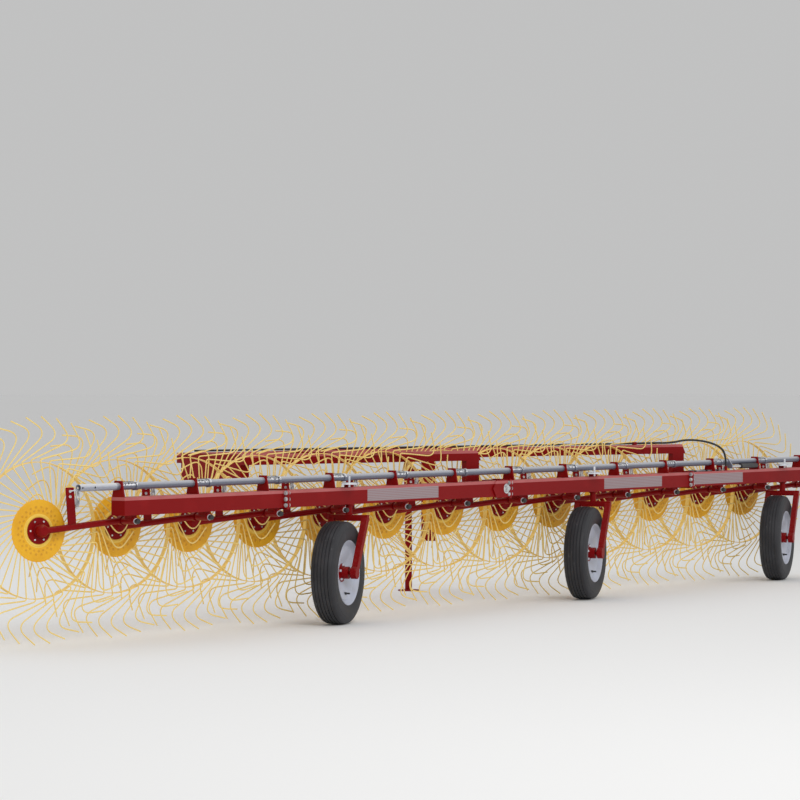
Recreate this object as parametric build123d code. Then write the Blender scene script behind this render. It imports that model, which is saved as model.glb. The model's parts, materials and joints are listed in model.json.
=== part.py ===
from build123d import *
import math
import os

# Trailed single-row wheel rake. Millimetres, +Z up, ground at z = 0.
# While the pieces are made, X runs along the main beam to its leading end, Y points forward
# and rake wheel 1 stands at X = Y = 0. At the end all pieces move so that the origin is
# below the middle of the whole machine.

# Row of rake wheels
wheel_count = 13
wheel_pitch = 790.0
wheel_turn = 15.6
hub_height = 785.0

# Rake wheel
hoop_radius = 465.0
hoop_width = 28.0
hoop_wall = 5.0
disc_radius = 212.5
disc_wall = 3.0
disc_offset = 22.0
hub_plate_radius = 90.0
hub_plate_wall = 8.0
hub_cap_radius = 45.0
hub_cap_depth = 12.0
hub_barrel_length = 15.0
ring_radius = 110.0
ring_depth = 5.0
hub_barrel_radius = 36.0
axle_radius = 17.5
tine_count = 40
tine_flat = 9.0
tine_root_radius = 196.0
tine_bend_radius = 479.0
tine_bend_turn = 25.0
tine_knee_radius = 620.0
tine_knee_turn = -0.5
tine_waist_radius = 702.0
tine_waist_turn = -1.5
tip_radius = 777.0
tip_turn = 7.0

# Fits
weld_overlap = 0.6
running_gap = 0.05
side_gap = 2.0

# Wheel arm
arm_plane = 85.0
arm_tube_radius = 22.5
arm_length = 630.0
pivot_drop = 40.0
housing_radius = 45.0
pin_radius = 15.0
bush_radius = 32.0
sleeve_radius = 26.0
sleeve_front_rim = 16.0
sleeve_back_rim = 4.0
saddle_width = 44.0
saddle_inset = 22.0
knob_radius = 19.0
knob_length = 32.0
post_distance = 210.0
post_width = 65.0
post_wall = 8.0
post_drop = 5.0
shackle_drop = 24.0
shackle_side = 14.0
shackle_reach = 12.0
spring_radius = 14.0
spring_length = 150.0
link_length = 50.0
link_width = 22.0
link_wire = 7.0
link_count = 2
wire_side = 5.0
hook_side = 8.0
hook_nut_side = 17.0
hook_nut_height = 9.0
hook_drop = 30.0
hook_rise = 16.0

# Main beam
beam_start = 424.0
beam_overhang = 670.0
beam_end = wheel_pitch * (wheel_count - 1) + beam_overhang
beam_joints = (2200.0, 5080.0, 7900.0)
beam_front = -300.0
beam_width = 120.0
beam_rise = 95.0
beam_height = 125.0
beam_wall = 6.0
flange_wall = 15.0
flange_rim = 24.0
pin_joint = 5080.0
cheek_wall = 12.0
cheek_length = 230.0
cheek_rim = 8.0
cheek_bevel = 50.0
cheek_pin_radius = 24.0
cheek_pin_reach = 12.0
weld_depth = 2.0

# Guides of the lift bar
guide_offset = 430.0
guide_wall = 12.0
guide_foot = 110.0
guide_head = 66.0
guide_head_rise = 38.0

# Lift bar
bar_start = 20.0
bar_overhang = 635.0
bar_end = wheel_pitch * (wheel_count - 1) + bar_overhang
bar_rise = 75.0
bar_radius = 25.0
bar_wall = 4.0
lift_travel = 113.0
collar_radius = 31.0
collar_length = 30.0
collar_offset = 600.0
ear_wall = 8.0
ear_reach = 62.0
ear_side = 24.0
hook_distance = 70.0
hook_stand = 59.8
slot_width = 24.0
slot_margin = 10.0
pipe_depth = 400.0
pipe_holes = (20.0, 145.0)
pipe_hole_radius = 8.0

# Lift cylinder
barrel_start = 8800.0
barrel_length = 280.0
barrel_radius = 22.0
cylinder_drop = 40.0
rod_radius = 12.5
rod_start = 8640.0
rod_depth = 80.0
lug_wall = 12.0
lug_side = 18.0
bracket_wall = 20.0

# Draft frame
draft_width = 60.0
draft_height = 80.0
draft_rise = 85.0
draft_gap = 10.0
draft_start = 2520.0
draft_reach = 268.0
draft_bevel = 40.0
bracket_length = 150.0
bracket_rise = 35.0
bracket_inset = 20.0
bracket_reach = 180.0
cross_width = 80.0
corner_drop = 135.0
cross_offset = 1000.0
travel_turn = 36.1

# Drawbar
eye_x = 6450.0
eye_y = 1350.0
eye_height = 480.0
eye_radius = 16.5
eye_wall = 30.0
eye_width = 90.0
eye_reach = 150.0
post_side = 120.0
post_drop_below_eye = 50.0
tongue_width = 70.0
tongue_left = 3400.0
tongue_right = 6180.0

# Parking jack
jack_radius = 30.0
jack_sleeve_radius = 38.0
jack_offset = 170.0
jack_sleeve_length = 320.0
jack_sleeve_drop = 60.0
jack_web_width = 60.0
jack_web_inset = 60.0
jack_rise = 50.0
foot_radius = 90.0
foot_wall = 10.0

# Ground wheels
swivels = (3010.0, 6385.0, 9590.0)
swivel_shift = 24.0
roll_turn = 17.6
tyre_radius = 382.0
tyre_width = 190.0
bead_inset = 22.0
shoulder_depth = 22.0
shoulder_inset = 10.0
crown_inset = 34.0
crown_depth = 4.0
wall_depth = 60.0
rim_radius = 232.0
rim_hub_radius = 45.0
rim_hub_half = 88.0
rim_wall = 8.0
dish_radius = 120.0
dish_edge_radius = 170.0
dish_depth = 16.0
trail = 245.0
fork_gap = 14.0
fork_tube = 45.0
fork_width = 50.0
leg_spread = 130.0
leg_boss_radius = 45.0
ground_axle_radius = 15.0
spindle_radius = 25.0
spindle_sleeve_radius = 36.0
spindle_block = 24.0
spindle_rim = 10.0
lever_gap = 2.0
lever_wall = 10.0
lever_front = 70.0
lever_length = 185.0
lever_width = 110.0
lever_turn = 218.3
lever_pin_distance = 121.0
lever_pin_radius = 8.0
lever_pin_drop = 20.0
lever_pin_top = 60.0

# Hose over the lift bar
hose_radius = 9.0
hose_end_x = 8530.0
hose_end_shift = 46.0
fitting_radius = 13.0
fitting_length = 40.0
clip_distance = 560.0
clip_side = 24.0
clip_wall = 20.0

beam_bottom = hub_height + beam_rise
beam_top = beam_bottom + beam_height
bar_height = beam_top + bar_rise
pivot_height = beam_bottom - pivot_drop
post_top = bar_height - post_drop
draft_bottom = bar_height + draft_rise
draft_top = draft_bottom + draft_height
bracket_foot = beam_bottom + bracket_rise
corner_bottom = draft_bottom - corner_drop
post_bottom = eye_height - post_drop_below_eye
jack_sleeve_top = draft_bottom - jack_sleeve_drop
jack_sleeve_bottom = jack_sleeve_top - jack_sleeve_length
jack_top = draft_bottom + jack_rise
fork_top = pivot_height - sleeve_radius - fork_gap
beam_back = beam_front - beam_width
beam_middle = beam_front - beam_width / 2
swivel_y = beam_middle - swivel_shift
in_plane = Vector(math.cos(math.radians(wheel_turn)), -math.sin(math.radians(wheel_turn)), 0)
rearward = Vector(-math.sin(math.radians(wheel_turn)), -math.cos(math.radians(wheel_turn)), 0)
travel = Vector(math.cos(math.radians(travel_turn)), math.sin(math.radians(travel_turn)), 0)
sideways = Vector(-travel.Y, travel.X, 0)
base = (Align.CENTER, Align.CENTER, Align.MIN)


def box_between(x0, x1, y0, y1, z0, z1):
    return Pos((x0 + x1) / 2, (y0 + y1) / 2, (z0 + z1) / 2) * Box(x1 - x0, y1 - y0, z1 - z0)


def rod_between(start, end, radius):
    path = Vector(*end) - Vector(*start)
    return Plane(origin=start, z_dir=path).location * Cylinder(radius, path.length, align=base)


def bar_between(start, end, width, height):
    # A flat-sided bar whose width lies level across its path
    path = Vector(*end) - Vector(*start)
    across = path.cross(Vector(0, 0, 1))
    section = Box(width, height, path.length, align=base)
    return Plane(origin=start, x_dir=across, z_dir=path).location * section


def wheel_place(number):
    # Local x runs in the wheel's plane to the arm's pivot, y up and z to the rear
    origin = (wheel_pitch * (number - 1), 0, hub_height)
    return Plane(origin=origin, x_dir=in_plane, z_dir=rearward).location


def row_point(along, offset, z):
    # A point by its distance along the wheel planes and its offset forward across them
    place = in_plane * along - rearward * offset
    return Vector(place.X, place.Y, z)


def hub_along(number):
    return wheel_pitch * (number - 1) * in_plane.X


def hub_offset(number):
    return -wheel_pitch * (number - 1) * rearward.X


# Places that several pieces share
pivot_rise = pivot_height - hub_height
housing_start = disc_offset + disc_wall + hub_plate_wall + hub_barrel_length + side_gap
housing_end = arm_plane + arm_tube_radius
axle_end = housing_end - 6.0
pivot_y = arm_length * in_plane.Y
sleeve_start = (-beam_front + pivot_y) / -rearward.Y - sleeve_front_rim
sleeve_end = (-beam_back + pivot_y) / -rearward.Y + sleeve_back_rim
knob_start = sleeve_end + 2 * side_gap
hook_u = arm_length - hook_stand
hook_w = (-beam_middle - hook_distance + hook_u * in_plane.Y) / -rearward.Y
hook_x = hook_u * in_plane.X + hook_w * rearward.X


def polar(radius, turn, z):
    angle = math.radians(turn)
    return Vector(radius * math.cos(angle), radius * math.sin(angle), z)


def tine():
    # Root at the disc, bend just past the hoop, knee and waist, then the tip
    level = hoop_width / 2 - weld_overlap
    path = [
        polar(tine_root_radius, 0, level),
        polar(tine_bend_radius, tine_bend_turn, level),
        polar(tine_knee_radius, tine_knee_turn, level),
        polar(tine_waist_radius, tine_waist_turn, level),
        polar(tip_radius, tip_turn, level),
    ]
    apex = disc_offset + weld_overlap - level
    section = Polygon((0, -tine_flat / 2), (apex, 0), (0, tine_flat / 2), align=None)
    start = Plane(origin=path[0], x_dir=(0, 0, 1), z_dir=path[1] - path[0])
    return sweep(start.location * section, path=Polyline(*path), transition=Transition.RIGHT)


def rake_wheel():
    disc_back = disc_offset + disc_wall
    plate_back = disc_back + hub_plate_wall
    barrel_back = housing_start - side_gap
    outline = [
        (0, disc_offset - hub_cap_depth),
        (hub_cap_radius, disc_offset - hub_cap_depth),
        (hub_cap_radius + hub_cap_depth, disc_offset),
        (disc_radius, disc_offset),
        (disc_radius, disc_back),
        (ring_radius, disc_back),
        (ring_radius - ring_depth, disc_back + ring_depth),
        (hub_plate_radius + ring_depth + 1, disc_back + ring_depth),
        (hub_plate_radius + 1, disc_back),
        (hub_plate_radius, disc_back),
        (hub_plate_radius, plate_back),
        (hub_barrel_radius, plate_back),
        (hub_barrel_radius, barrel_back),
        (axle_radius, barrel_back),
        (axle_radius, axle_end),
        (0, axle_end),
    ]
    profile = Plane.XZ * make_face(Polyline(*outline, close=True))
    hub = revolve(profile, Axis.Z)
    hoop = Cylinder(hoop_radius + hoop_wall / 2, hoop_width)
    hoop -= Cylinder(hoop_radius - hoop_wall / 2, hoop_width)
    one = tine()
    tines = [Rot(0, 0, 360 / tine_count * i) * one for i in range(tine_count)]
    return hub.fuse(hoop, *tines)


def chain_link(start, path, turned):
    # One flat link around its middle line, its flat side level or upright
    across = path.cross(Vector(0, 0, 1)).normalized()
    if turned:
        across = path.cross(across).normalized()
    outer = Box(link_length, link_width, link_wire)
    inner = Box(link_length - 2 * link_wire, link_width - 2 * link_wire, link_wire)
    middle = start + path.normalized() * (link_length / 2)
    flat = Plane(origin=middle, x_dir=path, z_dir=path.cross(across))
    return flat.location * (outer - inner)


def wheel_arm():
    pivot = (arm_length, pivot_rise)
    housing = Pos(0, 0, housing_start) * Cylinder(housing_radius, housing_end - housing_start, align=base)
    tube = rod_between((0, 0, arm_plane), (*pivot, arm_plane), arm_tube_radius)
    bush_start = arm_plane - arm_tube_radius
    bush = rod_between((*pivot, bush_start), (*pivot, housing_end), bush_radius)
    pin = rod_between((*pivot, bush_start), (*pivot, knob_start + knob_length), pin_radius)
    knob = rod_between((*pivot, knob_start), (*pivot, knob_start + knob_length), knob_radius)
    post_rise = post_top - hub_height
    post = box_between(
        post_distance - post_width / 2,
        post_distance + post_width / 2,
        0,
        post_rise,
        arm_plane - post_wall / 2,
        arm_plane + post_wall / 2,
    )
    # Chain, spring and hook from the post's top to the lift bar's ear
    shackle_end = arm_plane + post_wall / 2 + shackle_reach
    shackle_y = post_rise - shackle_drop
    half = shackle_side / 2
    shackle = Pos(post_distance, shackle_y, 0) * box_between(-half, half, -half, half, arm_plane, shackle_end)
    hook_top = bar_height + hook_rise - hub_height
    start = Vector(post_distance, shackle_y, shackle_end - weld_depth * 2)
    end = Vector(hook_u, hook_top, hook_w)
    path = end - start
    step = path.normalized()
    links = []
    place = start - step * link_wire / 2
    for number in range(link_count):
        links.append(chain_link(place, path, number % 2 == 0))
        place = place + step * (link_length - link_wire + 1)
    spring_end = place + step * spring_length
    spring = rod_between(place, spring_end, spring_radius)
    wire = bar_between(spring_end, end, wire_side, wire_side)
    hook_bottom = bar_height - hook_drop - hub_height
    hook_middle = (hook_bottom + hook_top + hook_side) / 2
    hook_length = hook_top + hook_side - hook_bottom
    hook = Pos(hook_u, hook_middle, hook_w) * Box(hook_side, hook_length, hook_side)
    nut_middle = hook_bottom + hook_nut_height / 2
    nut = Pos(hook_u, nut_middle, hook_w) * Box(hook_nut_side, hook_nut_height, hook_nut_side)
    body = housing + tube + bush + pin + knob + post + shackle + spring + wire + hook + nut
    for link in links:
        body = body + link
    bore = Pos(0, 0, housing_start) * Cylinder(
        axle_radius + running_gap, axle_end + side_gap / 2 - housing_start, align=base
    )
    return body - bore


def guide_plate(number):
    x = wheel_pitch * (number - 1) + guide_offset
    top = bar_height + guide_head_rise
    outline = Polygon(
        (beam_middle - guide_foot / 2, beam_top - weld_depth),
        (beam_middle + guide_foot / 2, beam_top - weld_depth),
        (beam_middle + guide_head / 2, top),
        (beam_middle - guide_head / 2, top),
        align=None,
    )
    plate = extrude(Plane.YZ * outline, guide_wall)
    hole = bar_run(-1, guide_wall + 1, bar_radius + 2 * running_gap)
    return Pos(x - guide_wall / 2, 0, 0) * (plate - hole)


def pin_sleeve(number):
    start = (arm_length, pivot_rise, sleeve_start)
    end = (arm_length, pivot_rise, sleeve_end)
    # A saddle block joins the sleeve to the beam's bottom
    saddle = box_between(
        arm_length - saddle_width / 2,
        arm_length + saddle_width / 2,
        pivot_rise,
        beam_bottom - hub_height + weld_depth,
        sleeve_start + sleeve_front_rim + saddle_inset,
        sleeve_end - saddle_inset,
    )
    return wheel_place(number) * (rod_between(start, end, sleeve_radius) + saddle)


def pin_bore(number):
    start = (arm_length, pivot_rise, sleeve_start - 1)
    end = (arm_length, pivot_rise, sleeve_end + 1)
    return wheel_place(number) * rod_between(start, end, pin_radius + running_gap)


def main_beam(start, end, cap_left, cap_right):
    # A box tube with flanges at its bolted ends and a cap at a free end
    body = box_between(start, end, beam_back, beam_front, beam_bottom, beam_top)
    for x, capped in ((start, cap_left), (end - flange_wall, cap_right)):
        if not capped:
            body += box_between(
                x,
                x + flange_wall,
                beam_back - flange_rim,
                beam_front + flange_rim,
                beam_bottom - flange_rim / 2,
                beam_top + flange_rim / 2,
            )
    body -= box_between(
        start + (beam_wall if cap_left else 0),
        end - (beam_wall if cap_right else 0),
        beam_back + beam_wall,
        beam_front - beam_wall,
        beam_bottom + beam_wall,
        beam_top - beam_wall,
    )
    for number in range(1, wheel_count + 1):
        guide_x = wheel_pitch * (number - 1) + guide_offset
        if start < guide_x < end:
            body += guide_plate(number)
        sleeve_x = wheel_pitch * (number - 1) + arm_length * in_plane.X
        if start < sleeve_x < end:
            body += pin_sleeve(number) - pin_bore(number)
    for x in swivels:
        if start < x < end:
            low = (x, swivel_y, beam_bottom - spindle_rim)
            high = (x, swivel_y, beam_top + spindle_block)
            body += rod_between(low, high, spindle_sleeve_radius)
            body -= rod_between(low, high, spindle_radius + running_gap)
    if end == pin_joint:
        body += pin_cheeks()
    return body


def pin_cheeks():
    # Pentagon plates on both sides of the beam at its middle joint, with the pin's round ends
    middle = beam_bottom + beam_height / 2
    outline = Polygon(
        (pin_joint - flange_wall, beam_bottom - cheek_rim),
        (pin_joint - flange_wall, beam_top + cheek_rim),
        (pin_joint - cheek_length + cheek_bevel, beam_top + cheek_rim),
        (pin_joint - cheek_length, middle),
        (pin_joint - cheek_length + cheek_bevel, beam_bottom - cheek_rim),
        align=None,
    )
    plate = extrude(Plane.XZ * outline, cheek_wall)
    pin_x = pin_joint - flange_wall - cheek_pin_radius - cheek_wall / 2
    both = None
    for face, side in ((beam_front, 1), (beam_back, -1)):
        outer = face + side * cheek_wall
        shift = outer if side > 0 else face
        cheek = Pos(0, shift, 0) * plate
        pin_end = outer + side * cheek_pin_reach
        cheek += rod_between((pin_x, face, middle), (pin_x, pin_end, middle), cheek_pin_radius)
        both = cheek if both is None else both + cheek
    return both


def bar_run(start, end, radius):
    return rod_between((start, beam_middle, bar_height), (end, beam_middle, bar_height), radius)


def ear_clamp(number):
    # Clamp ring around the lift bar, with the slotted ear that takes the arm's hook
    origin = wheel_pitch * (number - 1)
    collar = origin + collar_offset
    block = bar_run(collar - collar_length / 2, collar + collar_length / 2, collar_radius)
    ear_front = beam_middle + bar_radius + ear_reach
    ear = box_between(
        origin + hook_x - ear_side,
        collar + collar_length / 2,
        beam_middle,
        ear_front,
        bar_height - ear_wall / 2,
        bar_height + ear_wall / 2,
    )
    slot = box_between(
        origin + hook_x - slot_width / 2,
        origin + hook_x + slot_width / 2,
        beam_middle + bar_radius + side_gap,
        ear_front - slot_margin,
        bar_height - ear_wall,
        bar_height + ear_wall,
    )
    bore = bar_run(origin, origin + wheel_pitch, bar_radius)
    return block + ear - slot - bore


def cylinder_lug():
    # Lug down from the lift bar to the lift cylinder's rod
    y = beam_middle - cylinder_drop
    z = bar_height - cylinder_drop
    outline = Polygon(
        (beam_middle - lug_side, bar_height + collar_radius),
        (beam_middle + collar_radius, bar_height + lug_side),
        (beam_middle + collar_radius, bar_height - lug_side),
        (y + lug_side, z - lug_side),
        (y - lug_side, z - lug_side),
        (y - lug_side, z + lug_side),
        align=None,
    )
    lug = Pos(rod_start - lug_wall, 0, 0) * extrude(Plane.YZ * outline, lug_wall)
    return lug - bar_run(rod_start - 2 * lug_wall, rod_start + lug_wall, bar_radius)


def lift_bar():
    bar = bar_run(bar_start, bar_end, bar_radius)
    bar -= bar_run(bar_start - 1, bar_start + pipe_depth, bar_radius - bar_wall)
    for distance in pipe_holes:
        x = bar_start + distance
        front = (x, beam_middle + bar_radius, bar_height)
        bar -= rod_between((x, beam_middle - bar_radius, bar_height), front, pipe_hole_radius)
    return [bar, cylinder_lug()] + [ear_clamp(number) for number in range(1, wheel_count + 1)]


def cylinder_line(x):
    return (x, beam_middle - cylinder_drop, bar_height - cylinder_drop)


def lift_barrel():
    barrel_end = barrel_start + barrel_length
    body = rod_between(cylinder_line(barrel_start), cylinder_line(barrel_end), barrel_radius)
    bore_end = barrel_start + rod_depth + lift_travel + side_gap
    bore = rod_between(cylinder_line(barrel_start - 1), cylinder_line(bore_end), rod_radius + running_gap)
    return body - bore


def lift_rod():
    return rod_between(cylinder_line(rod_start), cylinder_line(barrel_start + rod_depth), rod_radius)


def barrel_bracket():
    x = barrel_start + barrel_length
    side = barrel_radius
    y = beam_middle - cylinder_drop
    top = bar_height - cylinder_drop + side
    return box_between(x, x + bracket_wall, y - side, y + side, beam_top - weld_depth, top)


# Draft beams: name, number of the rake wheel whose arm each passes behind
draft_beams = (("draft_beam_rear", 7), ("draft_beam_front", 11))


def draft_line(number):
    # The draft beam's middle line, as an offset across the wheel planes
    return hub_offset(number) - housing_end - draft_gap - draft_width / 2


def row_box(along0, along1, offset0, offset1, z0, z1):
    size = Box(along1 - along0, offset1 - offset0, z1 - z0)
    middle = row_point((along0 + along1) / 2, (offset0 + offset1) / 2, (z0 + z1) / 2)
    return Plane(origin=middle, x_dir=in_plane, z_dir=(0, 0, 1)).location * size


def draft_beam(number):
    line = draft_line(number)
    end = hub_along(number) + draft_reach
    half = draft_width / 2
    top = draft_top
    # Side outline with its free end bevelled, drawn along the wheel planes
    outline = Polygon(
        (draft_start, draft_bottom),
        (end, draft_bottom),
        (end - draft_bevel, top),
        (draft_start, top),
        align=None,
    )
    side = Plane(origin=row_point(0, line + half, 0), x_dir=in_plane, z_dir=rearward)
    body = side.location * extrude(outline, draft_width)
    # Bracket down to the main beam's front face
    inner = end - bracket_length
    outer = end - bracket_inset
    body += row_box(inner, outer, line - half, line + half, bracket_foot, draft_bottom + 1)
    tie = row_box(inner, outer, line - half - bracket_reach, line, bracket_foot, beam_top)
    behind = box_between(beam_start, beam_end, beam_front - 1000, beam_front, 0, 2 * beam_top)
    return body + (tie - behind - pin_cheeks())


def cross_members():
    rear_face = draft_line(draft_beams[0][1]) + draft_width / 2
    front_face = draft_line(draft_beams[1][1]) - draft_width / 2
    top = draft_top
    corner = row_box(draft_start, draft_start + cross_width, rear_face, front_face, corner_bottom, top)
    second = draft_start + cross_offset
    middle = row_box(second, second + cross_width, rear_face, front_face, draft_bottom, top)
    return corner, middle


def hitch_middle():
    return Vector(eye_x, eye_y, 0) - travel * (eye_reach + post_side / 2)


def tongue(along, face):
    # From the front draft beam's face to the rear or right face of the hitch post
    start = row_point(along, draft_line(draft_beams[1][1]), draft_bottom + draft_height / 2)
    end = hitch_middle() + Vector(0, 0, draft_bottom + draft_height / 2)
    body = bar_between(start, end, tongue_width, draft_height)
    beam_face = row_point(along, draft_line(draft_beams[1][1]) + draft_width / 2, 0)
    body = body.split(Plane(origin=beam_face, z_dir=rearward * -1), keep=Keep.TOP)
    post_face = hitch_middle() + face * (post_side / 2)
    return body.split(Plane(origin=post_face, z_dir=face), keep=Keep.TOP)


def hitch_post():
    middle = hitch_middle()
    level = Plane(origin=middle, x_dir=travel, z_dir=(0, 0, 1)).location
    top = draft_top
    body = level * box_between(-post_side / 2, post_side / 2, -post_side / 2, post_side / 2, post_bottom, top)
    half = eye_width / 2
    reach = eye_reach + post_side / 2
    plate = box_between(post_side / 2 - 1, reach, -half, half, -eye_wall / 2, eye_wall / 2)
    plate += rod_between((reach, 0, -eye_wall / 2), (reach, 0, eye_wall / 2), half)
    plate -= rod_between((reach, 0, -eye_wall), (reach, 0, eye_wall), eye_radius)
    body += level * (Pos(0, 0, eye_height) * plate)
    low = (0, jack_offset, jack_sleeve_bottom)
    high = (0, jack_offset, jack_sleeve_top)
    sleeve = rod_between(low, high, jack_sleeve_radius)
    sleeve += box_between(
        -jack_web_width / 2,
        jack_web_width / 2,
        post_side / 2 - 1,
        jack_offset,
        jack_sleeve_bottom + jack_web_inset,
        jack_sleeve_top - jack_web_inset,
    )
    sleeve -= rod_between(low, high, jack_radius + running_gap)
    return body + level * sleeve


def jack_leg():
    place = hitch_middle() + sideways * jack_offset
    foot = Cylinder(foot_radius, foot_wall, align=base)
    leg = Cylinder(jack_radius, jack_top, align=base)
    return Pos(place.X, place.Y, 0) * (foot + leg)


def fork_place(x):
    forward = (math.cos(math.radians(roll_turn)), math.sin(math.radians(roll_turn)), 0)
    return Plane(origin=(x, swivel_y, 0), x_dir=forward, z_dir=(0, 0, 1)).location


def fork():
    half = leg_spread + fork_tube / 2
    bar_bottom = fork_top - fork_tube
    body = box_between(-fork_width / 2, fork_width / 2, -half, half, bar_bottom, fork_top)
    top = fork_top - fork_tube / 2
    slope = Vector(-trail, 0, tyre_radius - top)
    for side in (-1, 1):
        start = Vector(0, side * leg_spread, top)
        body += bar_between(start, start + slope, fork_tube, fork_width)
        inner = (-trail, side * (leg_spread - fork_tube / 2), tyre_radius)
        outer = (-trail, side * (leg_spread + fork_tube / 2), tyre_radius)
        body += rod_between(inner, outer, leg_boss_radius)
    axle = leg_spread + fork_tube / 2
    body += rod_between((-trail, -axle, tyre_radius), (-trail, axle, tyre_radius), ground_axle_radius)
    spindle_top = beam_top + spindle_block + lever_gap
    return body + rod_between((0, 0, fork_top - 1), (0, 0, spindle_top), spindle_radius)


def steer_lever():
    # Plate on the spindle's top with its lock pin at the free end
    bottom = beam_top + spindle_block + lever_gap
    half = lever_width / 2
    plate = box_between(-lever_front, lever_length, -half, half, bottom, bottom + lever_wall)
    low = (lever_pin_distance, 0, bottom - lever_pin_drop)
    high = (lever_pin_distance, 0, bottom + lever_pin_top)
    plate -= rod_between(low, high, lever_pin_radius + running_gap)
    pin = rod_between(low, high, lever_pin_radius)
    turn = Rot(0, 0, lever_turn - roll_turn)
    return [turn * plate, turn * pin]


def ground_wheel():
    half = tyre_width / 2
    bead = half - bead_inset
    shoulder = tyre_radius - shoulder_depth
    well = rim_radius - rim_wall
    wall = rim_radius + wall_depth
    # Radius and level of one half of the tyre's skin, from bead to crown
    skin = [
        (rim_radius + side_gap, bead),
        (rim_radius + shoulder_inset + side_gap, half - rim_wall),
        (wall, half),
        (shoulder - shoulder_depth, half - side_gap),
        (shoulder, half - shoulder_inset),
        (tyre_radius - crown_depth, half - crown_inset),
        (tyre_radius, 0),
    ]
    mirrored = [(radius, -level) for radius, level in skin[:-1]]
    tyre = revolve(Plane.XZ * make_face(Polyline(*mirrored, *reversed(skin), close=True)), Axis.Z)
    bore = ground_axle_radius + running_gap
    bead_seat = rim_radius + side_gap - 6 * running_gap
    rim_outline = Polyline(
        (bore, -rim_hub_half),
        (rim_hub_radius, -rim_hub_half),
        (rim_hub_radius, -dish_depth),
        (dish_radius, -dish_depth - 2 * rim_wall),
        (dish_edge_radius, -dish_depth),
        (well, -dish_depth),
        (well, -bead + rim_wall / 2),
        (bead_seat, -bead),
        (bead_seat, bead),
        (well, bead - rim_wall / 2),
        (well, rim_wall - dish_depth),
        (dish_edge_radius, rim_wall - dish_depth),
        (dish_radius, -dish_depth - rim_wall),
        (rim_hub_radius, 0),
        (rim_hub_radius, rim_hub_half),
        (bore, rim_hub_half),
        close=True,
    )
    rim = revolve(Plane.XZ * make_face(rim_outline), Axis.Z)
    axle = Plane(origin=(-trail, 0, tyre_radius), x_dir=(1, 0, 0), z_dir=(0, -1, 0)).location
    return axle * tyre, axle * rim


def hose_route():
    # Points from the clip on the front draft beam, over the lift bar, to the beam's top
    line = draft_line(draft_beams[1][1])
    end = hub_along(draft_beams[1][1]) + draft_reach
    top = draft_top
    start = row_point(end - clip_distance, line, top + fitting_radius)
    return [
        start,
        row_point(end - 360, line + 4, top + hose_radius + 6),
        row_point(end - 150, line - 5, top + hose_radius + 3),
        row_point(end + 40, line, top + 40),
        Vector(hose_end_x - 200, beam_middle + 50, top + 25),
        Vector(hose_end_x - 70, beam_middle - 20, top - 20),
        Vector(hose_end_x, beam_middle - hose_end_shift, beam_top + 150),
        Vector(hose_end_x, beam_middle - hose_end_shift, beam_top + fitting_length),
    ]


def hose():
    points = hose_route()
    radii = []
    for before, corner, after in zip(points, points[1:], points[2:]):
        first = corner - before
        second = after - corner
        turn = math.radians(first.get_angle(second))
        radii.append(0.45 * min(first.length, second.length) / math.tan(turn / 2))
    print("hose radii", [round(radius) for radius in radii])
    path = FilletPolyline(*points, radius=radii)
    start = Plane(origin=points[0], z_dir=points[1] - points[0])
    tube = sweep(start.location * Circle(hose_radius), path=path)
    expected = math.pi * hose_radius ** 2 * path.length
    print("hose length", round(path.length), "volume share", round(tube.volume / expected, 4))
    return tube


def hose_fittings():
    points = hose_route()
    first = points[0]
    back = (first - points[1]).normalized()
    start_fitting = rod_between(first, first + back * fitting_length, fitting_radius)
    line = draft_line(draft_beams[1][1])
    clip_end = hub_along(draft_beams[1][1]) + draft_reach - clip_distance - clip_wall / 2
    half = clip_side / 2
    top = draft_top
    clip_top = top + fitting_radius
    start_fitting += row_box(clip_end - clip_wall, clip_end, line - half, line + half, top - 1, clip_top)
    last = points[-1]
    end_fitting = rod_between((last.X, last.Y, beam_top), last, fitting_radius)
    return start_fitting, end_fitting


def build():
    nodes = {}
    wheel = rake_wheel()
    arm = wheel_arm()
    for number in range(1, wheel_count + 1):
        place = wheel_place(number)
        nodes[f"rake_wheel_{number:02d}"] = [place * wheel]
        nodes[f"wheel_arm_{number:02d}"] = [place * arm]
    print("rake wheels and arms")

    ends = (beam_start,) + beam_joints + (beam_end,)
    for number, (start, end) in enumerate(zip(ends, ends[1:]), 1):
        beam = main_beam(start, end, number == 1, end == beam_end)
        if start < barrel_start < end:
            beam += barrel_bracket()
        nodes[f"main_beam_{number}"] = [beam]
    nodes["lift_bar"] = lift_bar()
    nodes["lift_barrel"] = [lift_barrel()]
    nodes["lift_rod"] = [lift_rod()]
    print("main beam and lift")

    start_fitting, end_fitting = hose_fittings()
    for name, number in draft_beams:
        nodes[name] = [draft_beam(number)]
    nodes["draft_beam_front"] = [nodes["draft_beam_front"][0] + start_fitting]
    nodes["main_beam_4"] = [nodes["main_beam_4"][0] + end_fitting]
    nodes["cross_corner"], nodes["cross_middle"] = [[member] for member in cross_members()]
    nodes["tongue_left"] = [tongue(tongue_left, travel * -1)]
    nodes["tongue_right"] = [tongue(tongue_right, sideways * -1)]
    nodes["hitch_post"] = [hitch_post()]
    nodes["jack_leg"] = [jack_leg()]
    nodes["lift_hose"] = [hose()]
    print("draft frame and drawbar")

    for number, x in enumerate(swivels, 1):
        place = fork_place(x)
        tyre, rim = ground_wheel()
        nodes[f"fork_{number}"] = [place * fork()]
        nodes[f"steer_lever_{number}"] = [place * piece for piece in steer_lever()]
        nodes[f"tyre_{number}"] = [place * tyre]
        nodes[f"rim_{number}"] = [place * rim]
    print("ground wheels")
    return nodes


def solids_of(shapes):
    found = []
    for shape in shapes:
        found.extend(shape.solids())
    return found


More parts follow.
